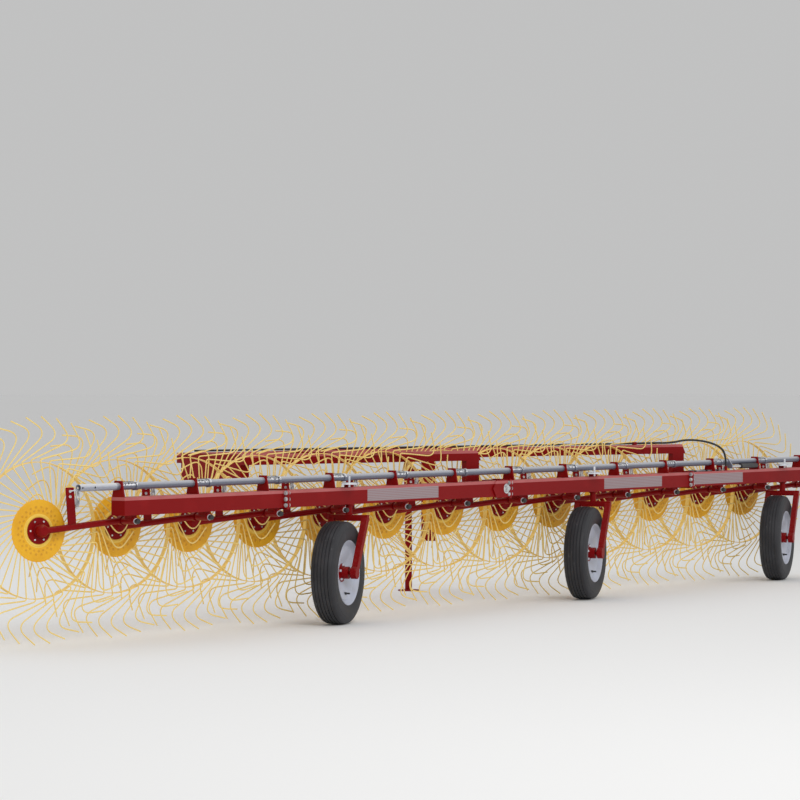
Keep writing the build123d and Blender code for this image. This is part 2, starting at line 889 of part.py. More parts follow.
nodes = {name: solids_of(shapes) for name, shapes in build().items()}
everything = Compound([solid for solids in nodes.values() for solid in solids]).bounding_box()
middle_x = (everything.min.X + everything.max.X) / 2
middle_y = (everything.min.Y + everything.max.Y) / 2
os.makedirs("parts", exist_ok=True)
for name, solids in nodes.items():
    placed = [Pos(-middle_x, -middle_y, 0) * solid for solid in solids]
    export_step(placed[0] if len(placed) == 1 else Compound(placed), f"parts/{name}.step")
print("origin moved by", round(-middle_x, 3), round(-middle_y, 3), "size", everything.size)
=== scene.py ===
import json
import math
import bmesh
import bpy
import numpy as np
from mathutils import Matrix, Vector


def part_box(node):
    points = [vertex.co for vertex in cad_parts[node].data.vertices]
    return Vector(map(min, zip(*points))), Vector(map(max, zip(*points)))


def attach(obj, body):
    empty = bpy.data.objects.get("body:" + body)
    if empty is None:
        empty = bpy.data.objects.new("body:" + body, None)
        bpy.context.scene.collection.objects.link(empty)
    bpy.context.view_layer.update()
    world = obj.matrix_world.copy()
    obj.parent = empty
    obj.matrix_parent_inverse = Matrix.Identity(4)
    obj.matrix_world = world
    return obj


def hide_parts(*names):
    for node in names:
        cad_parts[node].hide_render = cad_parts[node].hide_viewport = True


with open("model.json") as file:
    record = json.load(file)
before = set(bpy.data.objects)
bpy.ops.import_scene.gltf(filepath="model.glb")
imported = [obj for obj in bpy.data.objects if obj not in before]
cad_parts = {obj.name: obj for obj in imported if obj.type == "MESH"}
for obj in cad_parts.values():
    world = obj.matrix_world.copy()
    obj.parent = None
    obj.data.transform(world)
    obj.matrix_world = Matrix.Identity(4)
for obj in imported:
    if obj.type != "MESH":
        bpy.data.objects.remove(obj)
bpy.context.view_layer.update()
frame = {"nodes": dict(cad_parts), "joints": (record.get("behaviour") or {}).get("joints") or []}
nodes = frame["nodes"]
joints = {joint["name"]: joint for joint in frame["joints"]}
hubOne = np.array(joints["wheel_01_spin"]["pos_m"])
wheelNumbers = range(1, 14)
mm = 0.001
print("frame loaded:", len(nodes), "nodes")


# Shader sums

class Term:
    # A socket whose sums are written as Python expressions; each sum adds one Math node
    def __init__(self, recipe, socket):
        self.recipe = recipe
        self.socket = socket

    def sum(self, operation, *others):
        return self.recipe.add("ShaderNodeMath", {"operation": operation}, self, *others)

    def __add__(self, other):
        return self.sum("ADD", other)

    def __radd__(self, other):
        return self.sum("ADD", other)

    def __mul__(self, other):
        return self.sum("MULTIPLY", other)

    def __rmul__(self, other):
        return self.sum("MULTIPLY", other)

    def __sub__(self, other):
        return self.sum("SUBTRACT", other)

    def __rsub__(self, other):
        return self.recipe.add("ShaderNodeMath", {"operation": "SUBTRACT"}, other, self)

    def __gt__(self, other):
        return self.sum("GREATER_THAN", other)

    def __lt__(self, other):
        return self.sum("LESS_THAN", other)

    def between(self, low, high):
        return (self > low) * (self < high)

    def smooth(self, low, high):
        # 0 below low, 1 above high, with a soft step between them
        settings = {"interpolation_type": "SMOOTHSTEP"}
        return self.recipe.add("ShaderNodeMapRange", settings, self, low, high, 0.0, 1.0)


class Recipe:
    # The nodes of one material or world: add() makes any node from its type, its settings and the values
    # of its sockets, in their order or by name; None leaves a socket as it is
    def __init__(self, owner):
        owner.use_nodes = True
        self.owner = owner
        self.tree = owner.node_tree

    def add(self, kind, settings, *values, out=0, **named):
        node = self.tree.nodes.new(kind)
        for key, value in settings.items():
            setattr(node, key, value)
        for key, value in list(enumerate(values)) + list(named.items()):
            self.feed(node.inputs[key], value)
        return Term(self, node.outputs[out])

    def feed(self, socket, value):
        if isinstance(value, Term):
            self.tree.links.new(value.socket, socket)
        elif value is not None:
            if hasattr(socket.default_value, "__len__") and len(value) < len(socket.default_value):
                value = (*value, 1.0)
            socket.default_value = value

    def place(self):
        return self.add("ShaderNodeTexCoord", {}, out="Object")

    def axis(self, name):
        # Metres along the frame's X, Y or Z
        return self.add("ShaderNodeSeparateXYZ", {}, self.place(), out=name)

    def upward(self):
        # 1 where the surface faces the sky, 0 where it is upright, -1 where it faces down
        normal = self.add("ShaderNodeNewGeometry", {}, out="Normal")
        return self.add("ShaderNodeSeparateXYZ", {}, normal, out="Z")

    def noise(self, scale, detail=3.0, stretch=(1, 1, 1)):
        # Soft random spots, about 1 / scale metres wide
        spot = self.add("ShaderNodeMapping", {}, self.place(), Scale=stretch)
        return self.add("ShaderNodeTexNoise", {}, Vector=spot, Scale=scale, Detail=detail)

    def mix(self, mask, first, second):
        # Of the Mix node's sockets, the first is its factor and the seventh and eighth are its colours
        return self.add("ShaderNodeMix", {"data_type": "RGBA"}, mask, *[None] * 5, first, second, out=2)

    def bump(self, height, strength, distance):
        return self.add("ShaderNodeBump", {}, Height=height, Strength=strength, Distance=distance)

    def finish(self, **sockets):
        # Feeds the shader's sockets, each named with _ for a space
        shader = self.tree.nodes["Principled BSDF"]
        for name, value in sockets.items():
            self.feed(shader.inputs[name.replace("_", " ")], value)
        return self.owner


def newRecipe(name):
    return Recipe(bpy.data.materials.new(name))


# Finishes

redPaint = {
    "paint": (0.23, 0.002, 0.003),
    "worn": (0.30, 0.008, 0.009),
    "wornShare": 0.35,
    "dust": (0.36, 0.28, 0.20),
    "dustShare": 0.14,
    # painted highlight: the paler red along a beam's upper edge, and the width of that strip
    "edge": (0.52, 0.15, 0.15),
    "edgeWidth": 22 * mm,
    "roughness": 0.34,
    "specular": 0.12,
    "beamTop": 1.005,  # heights of the beams' upper edges
    "draftTop": 1.245,
}
decalBands = {
    "starts": (2.77, 6.08, 7.53),  # metres from the beam's trailing end
    "lengths": (0.92, 0.92, 0.85),
    "low": 0.897,
    "high": 0.987,
    "colour": (0.36, 0.31, 0.325),
    "stripes": 7,
    "gap": 0.25,  # share of each stripe's pitch
    "gapCover": 0.5,
    "stripeCover": 0.92,
}


def makeRedPaint(name, top=None, banded=False):
    # Deep red gloss, worn in patches, with a little dust on what faces up. A beam with a given top carries a
    # painted highlight, a paler strip along its upper edge, and the main beam carries its plain striped bands
    # on its rear face
    s = redPaint
    recipe = newRecipe(name)
    spots = recipe.noise(5.0, 4.0)
    fine = recipe.noise(60.0, 2.0)
    colour = recipe.mix(spots.smooth(0.5, 0.75) * s["wornShare"], s["paint"], s["worn"])
    dusty = recipe.upward().smooth(0.3, 0.95) * fine.smooth(0.35, 0.7) * s["dustShare"]
    colour = recipe.mix(dusty, colour, s["dust"])
    if top:
        # Painted highlight: a paler strip along the beam's upper edge, patchy with the spots
        edge = recipe.axis("Z").between(top - s["edgeWidth"], top + 1 * mm) * (0.6 + spots * 0.5)
        colour = recipe.mix(edge, colour, s["edge"])
    if banded:
        colour = recipe.mix(bandMask(recipe), colour, decalBands["colour"])
    return recipe.finish(
        Base_Color=colour,
        Roughness=s["roughness"] + spots * 0.12 + dusty * 0.5,
        Normal=recipe.bump(fine, 0.05, 2 * mm),
        Specular_IOR_Level=s["specular"],
    )


def bandMask(recipe):
    # Level stripes: the height inside a band, counted in stripes, is a gap while its fraction is small
    s = decalBands
    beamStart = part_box("main_beam_1")[0].x
    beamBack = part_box("lift_bar")[0].y
    x, z = recipe.axis("X"), recipe.axis("Z")
    spans = [x.between(beamStart + start, beamStart + start + length)
             for start, length in zip(s["starts"], s["lengths"])]
    rise = (z - s["low"]) * (s["stripes"] / (s["high"] - s["low"]))
    cover = (rise.sum("FRACT") > s["gap"]) * (s["stripeCover"] - s["gapCover"]) + s["gapCover"]
    inside = (spans[0] + spans[1] + spans[2]) * z.between(s["low"], s["high"])
    return inside * (recipe.axis("Y") < beamBack) * cover


def makeYellowPaint(name, colour, deep):
    # Warm yellow enamel that darkens a little in soft patches
    recipe = newRecipe(name)
    patch = recipe.noise(9.0, 4.0).smooth(0.4, 0.7)
    fine = recipe.noise(120.0, 2.0)
    return recipe.finish(
        Base_Color=recipe.mix(patch * 0.5, colour, deep),
        Roughness=0.38 + fine * 0.14,
        Normal=recipe.bump(fine, 0.04, 1 * mm),
        Specular_IOR_Level=0.4,
    )


def makeMetal(name, bright, dark, metallic, rough):
    # Plated or bare steel: broad cloudy spangle, with fine grain in the roughness
    recipe = newRecipe(name)
    cloud = recipe.noise(26.0, 3.0).smooth(0.35, 0.65)
    grain = recipe.noise(240.0, 2.0)
    return recipe.finish(
        Base_Color=recipe.mix(cloud, dark, bright),
        Metallic=metallic,
        Roughness=rough + grain * 0.12,
        Normal=recipe.bump(grain, 0.05, 0.5 * mm),
    )


barFinish = {
    "under": (0.15, 0.16, 0.21),  # painted shade on the side that faces down and painted highlight on the side that faces the sky
    "upper": (0.55, 0.56, 0.60),
    "endUnder": (0.46, 0.48, 0.56),
    "endUpper": (0.95, 0.95, 0.95),
    "endLength": 0.37,  # of the bar's end, which is painted paler as a painted highlight
    "endPaleness": 0.6,
    "pitch": 0.790,
    "mottledFrom": 0.442,  # from each wheel's hub
    "mottledShare": 0.21,  # of the pitch
    "spotDark": (0.16, 0.16, 0.18),
    "spotLight": (0.86, 0.87, 0.90),
}


def makeBarSteel():
    # Plated bar, with painted light: a painted highlight where it faces the sky and painted shade, blue grey,
    # below, and its end painted paler still as a painted highlight. Light and dark spots lie over a share of
    # each pitch, where a collar is
    s = barFinish
    recipe = newRecipe("barSteel")
    up = recipe.upward()
    x = recipe.axis("X")
    grain = recipe.noise(160.0, 2.0)
    nearEndHighlight = (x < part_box("lift_bar")[0].x + s["endLength"]) * s["endPaleness"]
    under = recipe.mix(nearEndHighlight, s["under"], s["endUnder"])
    upper = recipe.mix(nearEndHighlight, s["upper"], s["endUpper"])
    # Painted light: the top is painted pale and the underside dark, chosen by the way the surface faces
    colour = recipe.mix(up.smooth(-0.1, 0.95), under, upper)
    along = ((x - (hubOne[0] + s["mottledFrom"])) * (1 / s["pitch"])).sum("FRACT")
    spots = recipe.mix(recipe.noise(95.0, 1.0).smooth(0.44, 0.52), s["spotDark"], s["spotLight"])
    colour = recipe.mix((along < s["mottledShare"]) * up.smooth(0.05, 0.3), colour, spots)
    return recipe.finish(
        Base_Color=colour,
        Metallic=0.25,
        Roughness=0.32 + grain * 0.12,
        Normal=recipe.bump(grain, 0.05, 0.5 * mm),
    )


def makeTyre():
    # Dark rubber with broad dusty blotches and a few pale scuffs that run up and down
    recipe = newRecipe("tyreRubber")
    patch = recipe.noise(7.0, 5.0).smooth(0.42, 0.72) * 0.5
    scuff = recipe.noise(34.0, 2.0, (1, 1, 0.35)).smooth(0.66, 0.78) * 0.4
    colour = recipe.mix(patch, (0.016, 0.016, 0.020), (0.050, 0.050, 0.056))
    return recipe.finish(
        Base_Color=recipe.mix(scuff, colour, (0.15, 0.15, 0.155)),
        Roughness=0.55 + patch * 0.3,
        Normal=recipe.bump(recipe.noise(180.0, 2.0), 0.12, 0.8 * mm),
    )


def makeSoft(name, colour, dust, amount, rough):
    # Rubber, plastic and plain paint, dulled with dust in patches
    recipe = newRecipe(name)
    patch = recipe.noise(14.0, 5.0).smooth(0.4, 0.75)
    fine = recipe.noise(180.0, 2.0)
    return recipe.finish(
        Base_Color=recipe.mix(patch * amount, colour, dust),
        Roughness=rough + fine * 0.1,
        Normal=recipe.bump(fine, 0.12, 0.8 * mm),
    )


red = makeRedPaint("redPaint")
redBanded = makeRedPaint("redPaintBanded", redPaint["beamTop"], banded=True)
redDraft = makeRedPaint("redPaintDraft", redPaint["draftTop"])
discYellow = makeYellowPaint("discYellow", (0.88, 0.46, 0.014), (0.74, 0.34, 0.008))
tineYellow = makeYellowPaint("tineYellow", (0.92, 0.70, 0.24), (0.86, 0.60, 0.16))
hoopYellow = makeYellowPaint("hoopYellow", (0.95, 0.68, 0.19), (0.90, 0.58, 0.12))
# Painted shade for the disc's dimples and a painted highlight for the lip round the hub plate
discOrange = makeYellowPaint("discOrange", (0.72, 0.35, 0.012), (0.60, 0.26, 0.008))
discPale = makeYellowPaint("discPale", (0.92, 0.62, 0.10), (0.86, 0.50, 0.04))
zinc = makeMetal("zincPlate", (0.48, 0.50, 0.54), (0.32, 0.34, 0.38), 0.7, 0.36)
barSteel = makeBarSteel()
brightZinc = makeMetal("brightZinc", (0.84, 0.86, 0.90), (0.62, 0.65, 0.72), 0.3, 0.34)
mottled = makeMetal("mottledZinc", (0.78, 0.78, 0.78), (0.34, 0.35, 0.37), 0.3, 0.42)
springSteel = makeMetal("springSteel", (0.20, 0.20, 0.21), (0.10, 0.10, 0.105), 0.7, 0.4)
chrome = makeMetal("chromeRod", (0.82, 0.82, 0.83), (0.74, 0.74, 0.75), 1.0, 0.08)
rimGrey = makeSoft("rimGrey", (0.50, 0.53, 0.62), (0.40, 0.38, 0.35), 0.3, 0.4)
tyreBlack = makeTyre()
knobBlack = makeSoft("knobBlack", (0.022, 0.022, 0.024), (0.10, 0.09, 0.08), 0.2, 0.4)
hoseBlack = makeSoft("hoseBlack", (0.014, 0.014, 0.015), (0.08, 0.07, 0.06), 0.2, 0.45)
barrelBlack = makeSoft("barrelBlack", (0.03, 0.03, 0.032), (0.12, 0.11, 0.1), 0.2, 0.35)
print("finishes made")


# Surfaces

def unit(vector):
    # Each vector divided by its own length
    return vector / np.linalg.norm(vector, axis=-1, keepdims=True)


def placeOf(origin, along, axis):
    # Rows are the local x, y and z directions and the origin, so that moved() puts local points in the frame
    z = unit(np.asarray(axis, float))
    x = unit(np.asarray(along, float) - z * np.dot(along, z))
    return np.vstack([x, np.cross(z, x), z, np.asarray(origin, float)])


def moved(points, place):
    # x, y and z steps along the place's three directions, from its origin
    return points @ place[:3] + place[3]


def gridFaces(rows, columns, loopRows, loopColumns, start):
    # Four-sided faces between neighbouring rows and columns of a grid of points
    index = np.arange(rows * columns).reshape(rows, columns) + start
    if loopRows:
        index = np.vstack([index, index[:1]])
    if loopColumns:
        index = np.hstack([index, index[:, :1]])
    return np.stack([index[:-1, :-1], index[1:, :-1], index[1:, 1:], index[:-1, 1:]], -1).reshape(-1, 4)


class Form:
    # Gathers closed surfaces into one mesh; a surface has the form's first finish unless it names another
    def __init__(self, *finishes):
        self.finishes = finishes
        self.points = []
        self.faces = []
        self.numbers = []
        self.total = 0

    def grid(self, points, finish=None, loopRows=False, loopColumns=False, capRows=False, numbers=None):
        # points[row, column] is one surface; capRows closes its first and last row with flat faces;
        # numbers gives the number of the finish face by face
        rows, columns = points.shape[:2]
        faces = gridFaces(rows, columns, loopRows, loopColumns, self.total).tolist()
        if capRows:
            first = self.total + np.arange(columns)
            faces.append(first.tolist())
            faces.append((first + (rows - 1) * columns).tolist())
        if numbers is None:
            numbers = self.finishes.index(finish) if finish else 0
        self.points.append(points.reshape(-1, 3))
        self.faces.extend(faces)
        self.numbers.extend(np.broadcast_to(numbers, len(faces)).tolist())
        self.total += rows * columns

    def rod(self, points, finish=None):
        # Rings of points from one flat end to the other
        self.grid(points, finish, loopColumns=True, capRows=True)

    def hoop(self, points, finish=None):
        # Rings of points that come back to the first ring
        self.grid(points, finish, loopRows=True, loopColumns=True)

    def bolts(self, place, count, circle, level, head, finish):
        # Six-sided heads at even turns on a circle round the place's z axis
        for turn in np.arange(count) * 2 * np.pi / count:
            outward = place[0] * math.cos(turn) + place[1] * math.sin(turn)
            spot = place[3] + outward * circle + place[2] * level
            self.rod(boltHead(*head, placeOf(spot, place[0], place[2])), finish)

    def build(self, name, body, replaces=(), smoothAngle=35.0, bevel=0.0):
        # Makes the piece, shaded smooth except over edges sharper than smoothAngle degrees
        mesh = bpy.data.meshes.new(name)
        mesh.from_pydata(np.vstack(self.points).tolist(), [], self.faces)
        for material in self.finishes:
            mesh.materials.append(material)
        mesh.polygons.foreach_set("material_index", self.numbers)
        work = bmesh.new()
        work.from_mesh(mesh)
        bmesh.ops.remove_doubles(work, verts=work.verts, dist=1e-6)
        bmesh.ops.recalc_face_normals(work, faces=work.faces)
        work.to_mesh(mesh)
        work.free()
        mesh.polygons.foreach_set("use_smooth", [True] * len(mesh.polygons))
        mesh.set_sharp_from_angle(angle=math.radians(smoothAngle))
        piece = bpy.data.objects.new(name, mesh)
        bpy.context.scene.collection.objects.link(piece)
        if bevel:
            edge = piece.modifiers.new("edge", "BEVEL")
            edge.width = bevel
            edge.segments = 2
            edge.limit_method = "ANGLE"
        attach(piece, body)
        if replaces:
            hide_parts(*replaces)
        return piece


def revolved(profile, steps, place):
    # Each (radius, height) of the profile turns round the place's z axis
    radius, height = np.asarray(profile, float).T[:, :, None]
    turn = np.linspace(0, 2 * np.pi, steps, endpoint=False)
    points = np.stack([radius * np.cos(turn), radius * np.sin(turn), height + 0 * turn], -1)
    return moved(points, place)


def tube(path, radius, sides, across):
    # A ring of points round each path point, in the plane square to the path; across is never along the path
    path = np.asarray(path, float)
    ahead = unit(np.gradient(path, axis=0))
    side = unit(np.cross(ahead, across))
    other = np.cross(side, ahead)
    turn = np.linspace(0, 2 * np.pi, sides, endpoint=False)[None, :, None]
    return path[:, None] + (side[:, None] * np.cos(turn) + other[:, None] * np.sin(turn)) * radius


def softened(points, trims, steps):
    # Each inner corner becomes a short curve (1-t)^2 a + 2t(1-t) corner + t^2 b, trimmed by its own length
    points = np.asarray(points, float)
    t = np.linspace(0, 1, steps)[:, None]
    parts = [points[:1]]
    for before, corner, after, trim in zip(points, points[1:], points[2:], trims):
        a = corner + unit(before - corner) * trim
        b = corner + unit(after - corner) * trim
        parts.append((1 - t) ** 2 * a + 2 * t * (1 - t) * corner + t ** 2 * b)
    parts.append(points[-1:])
    return np.vstack(parts)


def boltHead(radius, height, place):
    # A six-sided head with a turned top, standing on the place's z axis
    turn = np.linspace(0, 2 * np.pi, 6, endpoint=False)
    scale = np.array([1.0, 1.0, 0.86])[:, None]
    level = np.array([0, height * 0.8, height])[:, None]
    points = np.stack([radius * scale * np.cos(turn), radius * scale * np.sin(turn), level + 0 * turn], -1)
    return moved(points, place)


def prismOf(outline, low, high, place):
    # A flat outline drawn in local x and y, pushed from one z to another
    outline = np.asarray(outline, float)
    levels = np.array([low, high])[:, None, None]
    points = np.concatenate([np.tile(outline, (2, 1, 1)), np.broadcast_to(levels, (2, len(outline), 1))], -1)
    return moved(points, place)


def roundOutline(halfLength, halfWidth, radius, steps=5):
    # A rectangle whose corners are quarter circles
    turn = np.linspace(0, np.pi / 2, steps)
    corner = np.stack([np.cos(turn), np.sin(turn)], -1) * radius
    quarter = corner + np.array([halfLength - radius, halfWidth - radius])
    flips = ((1, 1), (-1, 1), (-1, -1), (1, -1))
    return np.vstack([quarter[::x * y] * np.array([x, y]) for x, y in flips])


def circleOutline(radius, steps):
    # (cos, sin) * radius at even turns
    turn = np.linspace(0, 2 * np.pi, steps, endpoint=False)
    return np.stack([np.cos(turn), np.sin(turn)], -1) * radius


def wheelPlace(number):
    # Local x runs in the wheel's plane to its arm's pivot, y up and z to the rear
    spin = joints[f"wheel_{number:02d}_spin"]
    axis = np.array(spin["axis"])
    return placeOf(spin["pos_m"], (axis[1], -axis[0], 0), -axis)


# Tined wheels

wheelSizes = {
    "tines": 40,
    "wireRadius": 4.9 * mm,
    "level": 18.0 * mm,
    "path": ((0.190, 0.0), (0.481, 25.0), (0.671, -6.3), (0.774, 7.0)),  # radius, turn in degrees
    "trims": (22 * mm, 100 * mm),  # of the path's two bends
    "hoopRadius": 0.465,
    "hoopFront": -28 * mm,
    "hoopBack": 14 * mm,
    "hoopWall": 5 * mm,
    "discBack": 25 * mm,
    "lip": ((88, 0), (92, 1), (96, 5), (105, 5), (110, 0)),  # radius and rise over discBack, in mm
    "field": (116 * mm, 0.2, 26),  # inner and outer radius, and rings of faces
    "brim": ((204.5, 0), (208.5, -0.6), (211.5, -2.2)),
    "front": ((212.5, -1.5), (211.5, -3), (56, -3), (45, -15), (12, -15)),
    "dimples": 24,
    "dimpleRows": ((0.137, 0.0), (0.162, 0.5)),  # radius, shift in dimple spacings
    "dimpleSize": 8.0 * mm,
    "dimpleRise": 4.0 * mm,
    "hub": ((6, 0), (89, 0), (90, 1), (90, 7), (89, 8), (42, 8), (37, 12), (36, 23), (6, 23)),
    "bolts": 6,
    "boltCircle": 70 * mm,
    "boltLevel": 32.5 * mm,
    "boltHead": (7 * mm, 6 * mm),  # radius, height
}
discFinishes = (discYellow, red, mottled, discOrange, discPale)


def raised(profile, level=0):
    # A profile in mm, its heights counted from a level in metres
    return np.array(profile) * mm + np.array([0, level])


def allTines(place):
    # One wire along its path with two softened bends, turned to every place round the wheel at once
    s = wheelSizes
    radius, turn = np.array(s["path"]).T
    turn = np.radians(turn)
    corners = np.stack([radius * np.cos(turn), radius * np.sin(turn), np.full(len(radius), s["level"])], -1)
    one = tube(softened(corners, s["trims"], 9), s["wireRadius"], 6, (0, 0, 1))
    turn = np.arange(s["tines"]) * 2 * np.pi / s["tines"]
    cos, sin = np.cos(turn)[:, None, None], np.sin(turn)[:, None, None]
    x = one[..., 0] * cos - one[..., 1] * sin
    y = one[..., 0] * sin + one[..., 1] * cos
    return moved(np.stack([x, y, np.broadcast_to(one[..., 2], x.shape)], -1), place)


def hoopProfile():
    # A flat band with its four edges broken by 1 mm
    s = wheelSizes
    front, back, inner = s["hoopFront"], s["hoopBack"], s["hoopRadius"] - s["hoopWall"] / 2
    outer = inner + s["hoopWall"]
    cut = 1 * mm
    return [
        (inner, front + cut), (inner, back - cut), (inner + cut, back), (outer - cut, back),
        (outer, back - cut), (outer, front + cut), (outer - cut, front), (inner + cut, front),
    ]


def discSurface(place):
    # Rings from the lip at the hub plate out to the brim, then inwards over the front. Two circles of pressed
    # dimples lift the back: each adds rise * exp(-(distance / size)^2). Also returns each face's finish, in
    # which the faces over the dimples take a darker orange as painted shade and the lip a paler yellow as a
    # painted highlight
    s = wheelSizes
    lip = raised(s["lip"], s["discBack"])
    field = np.linspace(*s["field"])
    radius, level = np.vstack([
        lip, np.stack([field, np.full(len(field), s["discBack"])], -1), raised(s["brim"], s["discBack"])]).T
    turn = np.linspace(0, 2 * np.pi, s["dimples"] * 12, endpoint=False)
    r, a = np.meshgrid(radius, turn, indexing="ij")
    rise = np.zeros_like(r)
    for rowRadius, shift in s["dimpleRows"]:
        pitch = (a * s["dimples"] / (2 * np.pi) + shift + 0.5) % 1 - 0.5
        gap = pitch * 2 * np.pi / s["dimples"] * r
        rise = rise + np.exp(-((r - rowRadius) ** 2 + gap ** 2) / s["dimpleSize"] ** 2)
    back = np.stack([r * np.cos(a), r * np.sin(a), level[:, None] + rise * s["dimpleRise"]], -1)
    points = np.vstack([moved(back, place), revolved(raised(s["front"], s["discBack"]), len(turn), place)])
    pairs = rise + np.roll(rise, -1, 1)
    mean = (pairs[:-1] + pairs[1:]) / 4
    finish = np.full((len(points) - 1, len(turn)), discFinishes.index(discYellow))
    # Painted shade: the faces over the dimples are a darker orange
    finish[:len(mean)][mean > 0.3] = discFinishes.index(discOrange)
    # Painted highlight: the raised lip round the hub plate is a paler yellow
    finish[:len(lip)] = discFinishes.index(discPale)
    return points, np.append(finish.ravel(), [discFinishes.index(discYellow)] * 2)


def buildWheel(number):
    # Tines and hoop are one piece; the disc carries its hub plate and six bolts
    s = wheelSizes
    place = wheelPlace(number)
    body = f"wheel_{number:02d}"
    tines = Form(tineYellow, hoopYellow)
    for points in allTines(place):
        tines.rod(points)
    tines.hoop(revolved(hoopProfile(), 96, place), hoopYellow)
    tines.build(f"tineRing_{number:02d}", body, (f"rake_wheel_{number:02d}",))

    disc = Form(*discFinishes)
    points, numbers = discSurface(place)
    disc.grid(points, loopColumns=True, capRows=True, numbers=numbers)
    disc.rod(revolved(raised(s["hub"], s["discBack"]), 48, place), red)
    disc.bolts(place, s["bolts"], s["boltCircle"], s["boltLevel"], s["boltHead"], mottled)
    disc.build(f"wheelDisc_{number:02d}", body)


for number in wheelNumbers:
    buildWheel(number)
print("tined wheels made")


# Wheel arms

armSizes = {
    "housing": ((6, 50), (44, 50), (45, 51.5), (45, 74), (40, 92), (30, 104), (16, 107.5), (6, 107.5)),  # mm
    "plane": 85 * mm,
    "length": 0.630,
    "rise": 55 * mm,
    "tubeRadius": 22.5 * mm,
    "tubeRings": (0.0, 0.05, 0.5, 0.83, 0.88, 0.96, 1.0),  # shares of the tube's length
    "bush": ((14, 61), (31, 61), (32, 62), (32, 106.5), (31, 107.5), (14, 107.5)),
    "postAt": 0.210,
    "postLean": 22 * mm,
    "postWidth": 65 * mm,
    "postWall": 8 * mm,
    "postTop": 0.290,
    "postCorner": 8 * mm,
}
pinSizes = {
    "radius": 15 * mm,
    "start": 61 * mm,
    "knobStart": 268 * mm,
    "knob": ((0.5, 0), (15, 0), (18, 4), (19, 12), (19, 24), (16, 30), (10, 32), (0.5, 32)),
    "washer": ((14, -3), (21, -3), (21, 0), (14, 0)),
}
chainSizes = {
    "shackleDrop": 24 * mm,  # below the post's top
    "shackleReach": 8 * mm,
    "shackleBolt": (11 * mm, 9 * mm),
    "boltDrops": (2 * mm, 38 * mm),
    "linkLength": 46 * mm,
    "linkWidth": 21 * mm,
    "linkWire": 3.2 * mm,
    "links": 3,
    "firstLink": -4 * mm,
    "bunchAt": 0.266,
    "bunchPitch": 9 * mm,  # from strand to strand
    "bunchReach": 6 * mm,  # beyond the shackle
    "bunchDrop": 16 * mm,
    "bunchWire": 4 * mm,
    "bunchSlack": 4 * mm,
    "strands": 3,
    "innerDrop": 14 * mm,  # the middle strand hangs lower and nearer to the arm
    "innerReach": 8 * mm,
    "hookAt": (0.5702, 0.311, 141.9 * mm),
    "hookBottom": 0.265,
    "hookWire": 3.5 * mm,
    "hookBend": 10 * mm,
    "hookNut": (9.5 * mm, 9 * mm),
    "springFrom": 4 * mm,  # beyond the last link
    "springLength": 0.130,
    "springCoils": 17,
    "springRadius": 11 * mm,
    "springWire": 2.3 * mm,
}


def linkRing(middle, along, across, wire):
    # A racetrack: two straight sides joined by half circles, as a closed tube
    s = chainSizes
    half = s["linkWidth"] / 2 - wire
    straight = s["linkLength"] / 2 - wire - half
    turn = np.linspace(-np.pi / 2, 1.5 * np.pi, 16, endpoint=False) + np.pi / 16
    x = half * np.cos(turn) + np.sign(np.cos(turn)) * straight
    y = half * np.sin(turn)
    path = middle + x[:, None] * along + y[:, None] * across
    wrapped = np.vstack([path[-1:], path, path[:1]])
    return tube(wrapped, wire, 6, np.cross(along, across))[1:-1]


def springTube(start, end):
    # A helix: the centre runs from start to end while the wire turns round it, drawn in at both ends
    s = chainSizes
    coils = s["springCoils"]
    along = unit(end - start)
    side = unit(np.cross(along, (0, 0, 1)))
    other = np.cross(along, side)
    t = np.linspace(0, 1, coils * 12 + 1)
    turn = t * coils * 2 * np.pi
    radius = s["springRadius"] * np.clip(np.minimum(t, 1 - t) * coils * 1.5 + 0.2, 0, 1)
    centre = start + t[:, None] * (end - start)
    path = centre + radius[:, None] * (np.cos(turn)[:, None] * side + np.sin(turn)[:, None] * other)
    return tube(path, s["springWire"], 6, along)


def buildArm(number, place, pivotPlace):
    # Bearing housing, tube, pivot bush and lever post, which leans by postLean * (1 - height / postTop)
    s = armSizes
    arm = Form(red)
    arm.rod(revolved(raised(s["housing"]), 40, place))
    hub = np.array([0, 0, s["plane"]])
    pivot = np.array([s["length"], s["rise"], s["plane"]])
    line = hub + np.array(s["tubeRings"])[:, None] * (pivot - hub)
    arm.rod(moved(tube(line, s["tubeRadius"], 20, (0, 0, 1)), place))
    arm.rod(revolved(raised(s["bush"]), 32, pivotPlace))
    middle = np.array([s["postAt"], s["postTop"] / 2])
    post = roundOutline(s["postWidth"] / 2, s["postTop"] / 2, s["postCorner"]) + middle
    post[:, 0] += s["postLean"] * (1 - post[:, 1] / s["postTop"])
    half = s["postWall"] / 2
    arm.rod(prismOf(post, s["plane"] - half, s["plane"] + half, place))
    arm.build(f"armTube_{number:02d}", f"arm_{number:02d}", (f"wheel_arm_{number:02d}",),
              bevel=1 * mm)


def buildPin(number, pivotPlace):
    # The pivot's pin runs through the beam and ends in a washer and a knob. Its dark steel is partly real and
    # partly painted shade, darkening the space under the beam between the housing and the knob
    s = pinSizes
    pin = Form(springSteel, knobBlack, brightZinc)
    pin.rod(revolved(raised(s["knob"], s["knobStart"]), 30, pivotPlace), knobBlack)
    rod = [(s["radius"], s["start"]), (s["radius"], s["knobStart"] + 2 * mm)]
    pin.rod(revolved(rod, 24, pivotPlace))
    pin.rod(revolved(raised(s["washer"], s["knobStart"]), 24, pivotPlace), brightZinc)
    pin.build(f"pivotPin_{number:02d}", f"arm_{number:02d}")


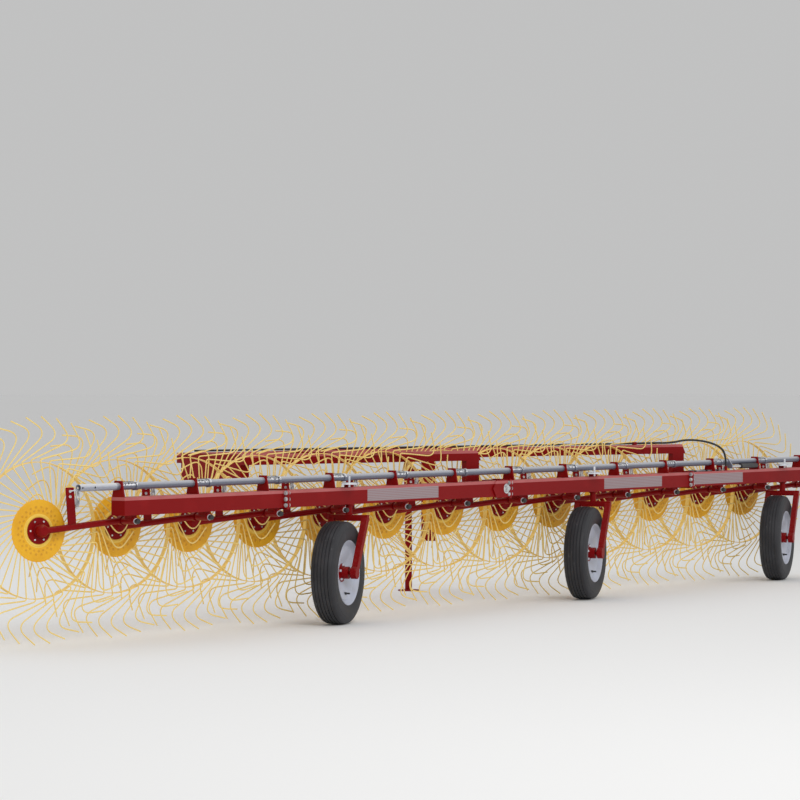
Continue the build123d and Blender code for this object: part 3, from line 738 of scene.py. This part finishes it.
def buildChain(number, place):
    # Links from the post's shackle, then a spring and a hook; spare links hang from the shackle in a bunch
    s = chainSizes
    chain = Form(zinc, springSteel, brightZinc, mottled)
    x, y, z = np.eye(3)
    shackle = np.array([armSizes["postAt"], armSizes["postTop"] - s["shackleDrop"],
                        armSizes["plane"] + armSizes["postWall"] / 2])
    hook = np.array(s["hookAt"])
    start = shackle + z * s["shackleReach"]
    along = unit(hook - start)
    across = unit(np.cross(along, z))
    pitch = s["linkLength"] - 2 * s["linkWire"]
    for k in range(s["links"]):
        middle = start + along * (pitch * k + s["linkLength"] / 2 + s["firstLink"])
        flat = across if k % 2 else np.cross(along, across)
        chain.hoop(moved(linkRing(middle, along, flat, s["linkWire"]), place), brightZinc)
    for strand in range(s["strands"]):
        inner = strand % 2
        top = np.array([s["bunchAt"] + (strand - 1) * s["bunchPitch"],
                        shackle[1] - s["bunchDrop"] - inner * s["innerDrop"],
                        shackle[2] + s["bunchReach"] - inner * s["innerReach"]])
        for k in range(s["links"]):
            middle = top - y * (pitch - s["bunchSlack"]) * k
            ring = linkRing(middle, y, x if (k + strand) % 2 else z, s["bunchWire"])
            chain.hoop(moved(ring, place), mottled)
    for drop in s["boltDrops"]:
        spot = moved(shackle - y * drop - z * 1 * mm, place)
        chain.rod(boltHead(*s["shackleBolt"], placeOf(spot, place[0], place[2])), mottled)
    springStart = start + along * (pitch * s["links"] + s["springFrom"])
    springEnd = springStart + along * s["springLength"]
    foot = np.array([hook[0], s["hookBottom"], hook[2]])
    wire = softened([springEnd, hook, foot], (s["hookBend"],), 6)
    chain.rod(moved(tube(wire, s["hookWire"], 8, z), place))
    chain.rod(boltHead(*s["hookNut"], placeOf(moved(foot, place), place[0], z)))
    chain.rod(moved(springTube(springStart, springEnd), place), springSteel)
    chain.build(f"liftChain_{number:02d}", f"arm_{number:02d}")


for number in wheelNumbers:
    place = wheelPlace(number)
    pivot = moved(np.array([armSizes["length"], armSizes["rise"], 0]), place)
    pivotPlace = placeOf(pivot, place[0], place[2])
    buildArm(number, place, pivotPlace)
    buildPin(number, pivotPlace)
    buildChain(number, place)
print("wheel arms made")


# Ground wheels

tyreSizes = {
    "radius": 0.382,
    "halfWidth": 95 * mm,
    "rim": 0.232,
    "wall": ((2, 22), (6, 13), (14, 8), (40, 2), (66, 0)),  # mm above the rim, mm in from the tyre's side
    "shoulder": ((-52, 2), (-50, 4), (-38, 5), (-24, 10), (-11, 19), (-5, 32)),  # from the tyre's radius
    "grooves": (-52, -26, 0, 26, 52),
    "grooveDepth": 5 * mm,
    "grooveTop": 3.5,  # half of its width in mm
    "grooveFoot": 2.5,
    "crown": 1.4,
}
rimSizes = {
    # Rolled edge, well and dished centre with its inner side, as one closed outline; radius, level in mm
    "dish": (
        (233, -73), (241, -83), (239, -87), (234, -83), (226, -69), (224, -55), (206, -43), (202, 42),
        (165, 50), (120, 34), (88, 22), (70, 22), (15.1, 22),
        (15.1, 28), (70, 28), (88, 29), (120, 41), (165, 57), (198, 57),
        (203, 52), (207, 52), (224, 66), (226, 72), (234, 83), (239, 87), (241, 83), (233, 73),
    ),
    "hub": ((15.1, -88), (43, -88), (45, -86), (45, 20), (68, 21), (68, 34), (45, 35), (45, 86), (43, 88),
            (15.1, 88)),
    "bolts": 5,
    "boltCircle": 57 * mm,
    "boltLevel": 33 * mm,
    "boltHead": (9 * mm, 13 * mm),
    "valveAt": 153 * mm,
    "valve": ((9.5, 48), (9.5, 66), (6.5, 70), (6.5, 92)),
}


def tyreProfile():
    # Beads, side walls and shoulders, and between them a tread whose radius is outer - crown * level^2,
    # with straight grooves
    s = tyreSizes
    side = [(base + rise * mm, inset * mm - s["halfWidth"])
            for base, part in ((s["rim"], s["wall"]), (s["radius"], s["shoulder"])) for rise, inset in part]
    tread = []
    for groove in s["grooves"]:
        top = s["radius"] - (abs(groove) * mm) ** 2 * s["crown"]
        foot = top - s["grooveDepth"]
        tread += [(top, (groove - s["grooveTop"]) * mm), (foot, (groove - s["grooveFoot"]) * mm),
                  (foot, (groove + s["grooveFoot"]) * mm), (top, (groove + s["grooveTop"]) * mm)]
    return side + tread + [(radius, -level) for radius, level in reversed(side)]


def buildGroundWheel(number):
    # Tyre, and rim with its hub, five bolts and valve, all turned round the wheel's axle
    s = rimSizes
    roll = joints[f"roll_{number}"]
    place = placeOf(roll["pos_m"], (0, 0, 1), -np.array(roll["axis"]))
    body = f"ground_wheel_{number}"
    tyre = Form(tyreBlack)
    tyre.hoop(revolved(tyreProfile(), 96, place))
    tyre.build(f"tyreTread_{number}", body, (f"tyre_{number}",), smoothAngle=30)
    rim = Form(rimGrey, red, brightZinc, knobBlack)
    rim.hoop(revolved(raised(s["dish"]), 72, place))
    rim.hoop(revolved(raised(s["hub"]), 32, place), red)
    rim.bolts(place, s["bolts"], s["boltCircle"], s["boltLevel"], s["boltHead"], brightZinc)
    valvePlace = placeOf(place[3] - place[0] * s["valveAt"], place[1], place[2])
    rim.rod(revolved(raised(s["valve"]), 12, valvePlace), knobBlack)
    rim.build(f"rimDish_{number}", body, (f"rim_{number}",))


for number in (1, 2, 3):
    buildGroundWheel(number)
print("ground wheels made")


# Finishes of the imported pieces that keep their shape

def finishOf(node):
    # By the start of the node's name, or red
    if node.startswith("main_beam"):
        return redBanded
    if node.startswith("draft"):
        return redDraft
    if node.startswith("steer_lever"):
        return brightZinc
    single = {"lift_bar": barSteel, "lift_rod": chrome, "lift_barrel": barrelBlack, "lift_hose": hoseBlack}
    return single.get(node, red)


for name, node in nodes.items():
    node.data.materials.clear()
    node.data.materials.append(finishOf(name))
print("packed pieces finished")


# Bolts, strips and pipes on the beam and the lift bar

beamSizes = {
    "middle": hubOne[1] - 0.360,
    "front": hubOne[1] - 0.300,
    "back": hubOne[1] - 0.420,
    "top": redPaint["beamTop"],
    "bottom": 0.880,
}
stripSizes = {
    "start": 0.445,  # from each wheel's hub
    "level": 1.104,
    "length": 0.150,
    "width": 42 * mm,
    "wall": 5 * mm,
    "corner": 8 * mm,
    "clip": ((4, 0), (9, 0), (9, 3), (4, 3)),
    "clipShifts": (-50, -25, 0, 25, 50),
}
flangeSizes = {
    "wall": 15 * mm,
    "inset": 13 * mm,  # of a bolt from the beam's faces
    "edge": 18 * mm,  # of a bolt from the beam's top and bottom
    "bolt": (13 * mm, 11 * mm),
    "washer": 17 * mm,
    "pinX": hubOne[0] + 5.035,
    "cheekWall": 12 * mm,
    "pinWasher": 40 * mm,
    "pinCap": ((0.5, 2.5), (26, 2.5), (26, 15), (23, 18), (0.5, 18)),
}
pipeSizes = {
    "from": hubOne[0] + 7.951,
    "to": hubOne[0] + 8.500,
    "radius": 5 * mm,
    "gap": 2 * mm,  # below the pipes
    "shifts": (18 * mm, -22 * mm),
    "clips": 3,
    "clipInset": 0.08,
    "clipShift": -2 * mm,
    "clipHalf": (10 * mm, 36 * mm),
    "clipTop": 15 * mm,
    "clipBolt": (6 * mm, 5 * mm),
    "supplyRadius": 8 * mm,
    "supplyInset": 0.15,  # from the draft beam's outer end
    "supplyOverlap": 15 * mm,
    "rowTurn": math.radians(15.6),
}
hoseSizes = {
    "diameter": 0.018,
    "length": 1.153,
    "points": (
        (2.8427, -0.4659, 1.258), (3.0364, -0.5158, 1.26), (3.2362, -0.581, 1.257), (3.4206, -0.6272, 1.285),
        (3.5936, -0.7123, 1.27), (3.7236, -0.7823, 1.225), (3.7936, -0.8083, 1.155), (3.7936, -0.8083, 1.045),
    ),
}


def levelPlace(x, y, z):
    # A place whose z points up
    return placeOf((x, y, z), (1, 0, 0), (0, 0, 1))


def buildStrips():
    # A strip on the lift bar beside each guide, with a row of five raised dark rings
    s = stripSizes
    strips = Form(mottled, knobBlack)
    for number in wheelNumbers:
        x = wheelPlace(number)[3][0] + s["start"] + s["length"] / 2
        outline = roundOutline(s["length"] / 2, s["width"] / 2, s["corner"])
        strips.rod(prismOf(outline, 0, s["wall"], levelPlace(x, beamSizes["middle"], s["level"])))
        for shift in s["clipShifts"]:
            clipPlace = levelPlace(x + shift * mm, beamSizes["middle"], s["level"] + s["wall"])
            strips.hoop(revolved(raised(s["clip"]), 16, clipPlace), knobBlack)
    strips.build("barStrips", "lift_bar", bevel=0.8 * mm)


def buildFlangeBolts():
    # Three bolts up both rims of each flange pair, with a head and a washer on either side
    s = flangeSizes
    bolts = Form(mottled)
    middle = (beamSizes["bottom"] + beamSizes["top"]) / 2
    for name in ("main_beam_1", "main_beam_2", "main_beam_3"):
        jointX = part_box(name)[1].x
        for y in (beamSizes["front"] + s["inset"], beamSizes["back"] - s["inset"]):
            for z in (beamSizes["bottom"] + s["edge"], middle, beamSizes["top"] - s["edge"]):
                for side in (-1, 1):
                    place = placeOf((jointX + side * s["wall"], y, z), (0, 0, 1), (side, 0, 0))
                    bolts.rod(boltHead(*s["bolt"], place))
                    bolts.rod(prismOf(circleOutline(s["washer"], 20), -0.5 * mm, 2.5 * mm, place))
    # Washer and cap on both ends of the middle joint's pin
    for y, side in ((beamSizes["front"] + s["cheekWall"], 1), (beamSizes["back"] - s["cheekWall"], -1)):
        place = placeOf((s["pinX"], y, middle), (0, 0, 1), (0, side, 0))
        bolts.rod(prismOf(circleOutline(s["pinWasher"], 32), -0.5 * mm, 3 * mm, place))
        bolts.rod(revolved(raised(s["pinCap"]), 28, place))
    bolts.build("flangeBolts", "frame")


def buildPipes():
    # Two steel pipes held on the beam's top by clips, ending at the hose
    s = pipeSizes
    pipes = Form(zinc, knobBlack, hoseBlack)
    z = beamSizes["top"] + s["radius"] + s["gap"]
    for shift in s["shifts"]:
        y = beamSizes["middle"] + shift
        pipes.rod(tube(np.linspace((s["from"], y, z), (s["to"], y, z), 6), s["radius"], 10, (0, 0, 1)))
    outline = np.array([(-1, -1), (1, -1), (1, 1), (-1, 1)]) * s["clipHalf"]
    y = beamSizes["middle"] + s["clipShift"]
    for x in np.linspace(s["from"] + s["clipInset"], s["to"] - s["clipInset"], s["clips"]):
        pipes.rod(prismOf(outline, -1 * mm, s["clipTop"], levelPlace(x, y, beamSizes["top"])), knobBlack)
        boltPlace = levelPlace(x, y, beamSizes["top"] + s["clipTop"] - 1 * mm)
        pipes.rod(boltHead(*s["clipBolt"], boltPlace))
    # The supply pipe lies on the front draft beam and ends at the hose's clip
    end = np.array(hoseSizes["points"][0])
    back = np.array([-math.cos(s["rowTurn"]), math.sin(s["rowTurn"]), 0])
    reach = end[0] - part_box("draft_beam_front")[0].x - s["supplyInset"]
    line = np.linspace(end - back * reach / back[0], end + back * s["supplyOverlap"], 8)
    pipes.rod(tube(line, s["supplyRadius"], 10, (0, 0, 1)), hoseBlack)
    pipes.build("oilPipes", "frame", bevel=1 * mm)


def buildHose():
    # A round hose on one smooth NURBS curve from the supply pipe's clip down to the fitting on the beam
    s = hoseSizes
    curve = bpy.data.curves.new("liftHose", "CURVE")
    curve.dimensions = "3D"
    curve.bevel_depth = s["diameter"] / 2
    curve.bevel_resolution = 4
    curve.resolution_u = 12
    curve.use_fill_caps = True
    spline = curve.splines.new("NURBS")
    spline.points.add(len(s["points"]) - 1)
    spline.points.foreach_set("co", np.insert(s["points"], 3, 1.0, axis=1).ravel())
    spline.order_u = 3
    spline.use_endpoint_u = True
    curve.materials.append(hoseBlack)
    piece = bpy.data.objects.new("liftHose", curve)
    bpy.context.scene.collection.objects.link(piece)
    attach(piece, "frame")
    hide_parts("lift_hose")


buildStrips()
buildFlangeBolts()
buildPipes()
print("bolts, strips and pipes made")
buildHose()
print("hose made")


# Floor, light and camera

studio = {
    "floor": (0.86, 0.86, 0.85),
    "floorHalf": 400.0,
    "sky": (0.93, 0.93, 0.94),
    "skyStrength": 0.66,
    "backdrop": (0.535, 0.536, 0.536),
    "key": {"place": (-9, -13, 11), "power": 860, "size": 7},
    "fill": {"place": (10, -12, 7), "power": 200, "size": 9},
    "top": {"place": (0, 6, 12), "power": 300, "size": 12},
    "lampAim": (0, 0, 0.7),
}
cameraSizes = {
    "place": (hubOne[0] - 16.08, hubOne[1] - 14.76, 1.782),
    "look": (0.8083, 0.5887),
    "pitch": -0.30,
    "roll": -0.05,
    "lens": 144,
    "farthest": 500,
}


def buildFloor():
    far = studio["floorHalf"]
    mesh = bpy.data.meshes.new("floor")
    mesh.from_pydata([(-far, -far, 0), (far, -far, 0), (far, far, 0), (-far, far, 0)], [], [(0, 1, 2, 3)])
    mesh.materials.append(newRecipe("floorPale").finish(Base_Color=studio["floor"], Roughness=0.9))
    floor = bpy.data.objects.new("floor", mesh)
    bpy.context.scene.collection.objects.link(floor)


def buildWorld():
    # Camera, glossy and transmission rays see the backdrop's colour, all other rays the sky
    bpy.context.scene.world = bpy.data.worlds.new("studio")
    recipe = Recipe(bpy.context.scene.world)
    recipe.tree.nodes.remove(recipe.tree.nodes["Background"])
    camera, glossy, clear = (recipe.add("ShaderNodeLightPath", {}, out=ray) for ray in (
        "Is Camera Ray", "Is Glossy Ray", "Is Transmission Ray"))
    sky = recipe.add("ShaderNodeBackground", {}, studio["sky"], studio["skyStrength"])
    backdrop = recipe.add("ShaderNodeBackground", {}, studio["backdrop"], 1.0)
    seen = camera.sum("MAXIMUM", glossy).sum("MAXIMUM", clear)
    surface = recipe.add("ShaderNodeMixShader", {}, seen, sky, backdrop)
    recipe.feed(recipe.tree.nodes["World Output"].inputs["Surface"], surface)


def buildLamp(name):
    # A square lamp turned towards the lamps' common aim
    s = studio[name]
    lamp = bpy.data.lights.new(name, "AREA")
    lamp.energy = s["power"]
    lamp.size = s["size"]
    holder = bpy.data.objects.new(name, lamp)
    holder.location = s["place"]
    aim = Vector(studio["lampAim"]) - Vector(s["place"])
    holder.rotation_euler = aim.to_track_quat("-Z", "Y").to_euler()
    bpy.context.scene.collection.objects.link(holder)


def buildCamera():
    # Looks along a level direction, tilted by the pitch and turned about its own axis by the roll
    s = cameraSizes
    camera = bpy.data.cameras.new("camera")
    camera.lens = s["lens"]
    camera.clip_end = s["farthest"]
    holder = bpy.data.objects.new("camera", camera)
    holder.location = s["place"]
    look = Vector((*s["look"], math.tan(math.radians(s["pitch"])) * math.hypot(*s["look"])))
    turned = look.to_track_quat("-Z", "Y").to_matrix() @ Matrix.Rotation(math.radians(s["roll"]), 3, "Z")
    holder.rotation_euler = turned.to_euler()
    bpy.context.scene.collection.objects.link(holder)
    bpy.context.scene.camera = holder


buildFloor()
buildWorld()
for name in ("key", "fill", "top"):
    buildLamp(name)
buildCamera()
bpy.context.scene.view_settings.view_transform = "Standard"
print("floor, light and camera set")
